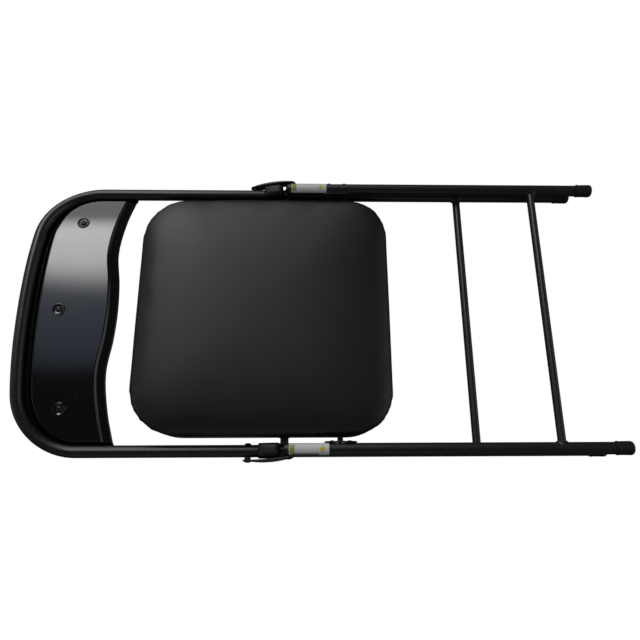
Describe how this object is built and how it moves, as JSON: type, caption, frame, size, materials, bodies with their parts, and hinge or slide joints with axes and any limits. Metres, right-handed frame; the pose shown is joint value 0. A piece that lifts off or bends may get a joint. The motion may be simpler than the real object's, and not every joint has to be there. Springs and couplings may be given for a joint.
{
  "type": "padded folding chair",
  "caption": "Padded steel folding chair folded flat: bowed back panel, vinyl seat in a steel pan, tubular front frame and rear legs joined by hinge links.",
  "frame": {"origin": "under the middle of the folded chair, on the plane of the seat pan's underside", "axes": "+X to the sitter's left, +Y towards the feet, +Z out of the rear side of the folded chair, which is the top of the seat"},
  "size_m": [0.4774, 0.9572, 0.046],
  "materials": {
    "frame_enamel": "satin black enamel on steel tube",
    "pan_enamel": "gloss black enamel on sheet steel",
    "seat_vinyl": "matte charcoal vinyl with a fine grain",
    "foot_plastic": "moulded black plastic",
    "fastener_steel": "black-coated steel rivets, studs and screws",
    "label_film": "blank white adhesive film"
  },
  "bodies": {
    "seat": {"seat_pan": "pan_enamel", "seat_cushion": "seat_vinyl", "seat_pivot_stud_left": "fastener_steel", "seat_pivot_stud_right": "fastener_steel", "leg_pivot_stud_left": "fastener_steel", "leg_pivot_stud_right": "fastener_steel"},
    "front_frame": {"front_frame_tube": "frame_enamel", "back_panel": "pan_enamel", "back_pad": "seat_vinyl", "screw_cup_left": "foot_plastic", "back_screw_left": "fastener_steel", "screw_cup_centre": "foot_plastic", "back_screw_centre": "fastener_steel", "screw_cup_right": "foot_plastic", "back_screw_right": "fastener_steel", "front_brace": "frame_enamel", "front_foot_left": "foot_plastic", "front_foot_right": "foot_plastic", "link_rivet_left": "fastener_steel", "link_rivet_right": "fastener_steel", "bumper_left": "foot_plastic", "bumper_right": "foot_plastic"},
    "rear_legs": {"rear_brace": "frame_enamel", "rear_leg_left": "frame_enamel", "rear_leg_right": "frame_enamel", "leg_plug_left": "foot_plastic", "leg_plug_right": "foot_plastic", "rear_foot_left": "foot_plastic", "rear_foot_right": "foot_plastic", "leg_bracket_left": "frame_enamel", "leg_bracket_right": "frame_enamel", "label_left": "label_film", "label_right": "label_film", "bracket_rivet_left_upper": "fastener_steel", "bracket_rivet_left_lower": "fastener_steel", "bracket_rivet_right_upper": "fastener_steel", "bracket_rivet_right_lower": "fastener_steel"},
    "link_left": {"hinge_link_left": "frame_enamel", "link_end_rivet_left": "fastener_steel"},
    "link_right": {"hinge_link_right": "frame_enamel", "link_end_rivet_right": "fastener_steel"}
  },
  "joints": [
    {"name": "frame_fold", "type": "hinge", "parent": "seat", "child": "front_frame", "pos_m": [0, -0.052, 0.012], "axis": [-1, 0, 0], "range_deg": [0, 124]},
    {"name": "rear_leg_fold", "type": "hinge", "parent": "seat", "child": "rear_legs", "pos_m": [0, 0.034, 0.0183], "axis": [-1, 0, 0], "range_deg": [0, 77.4]},
    {"name": "link_fold_left", "type": "hinge", "parent": "front_frame", "child": "link_left", "pos_m": [0.2352, -0.108, 0.012], "axis": [1, 0, 0], "range_deg": [0, 141.7]},
    {"name": "link_fold_right", "type": "hinge", "parent": "front_frame", "child": "link_right", "pos_m": [-0.2352, -0.108, 0.012], "axis": [1, 0, 0], "range_deg": [0, 141.7]}
  ],
  "couplings": [
    {"joint": "rear_leg_fold", "follows": "frame_fold", "ratio": 0.62379},
    {"joint": "link_fold_left", "follows": "frame_fold", "ratio": 1.1419},
    {"joint": "link_fold_right", "follows": "frame_fold", "ratio": 1.1419}
  ]
}
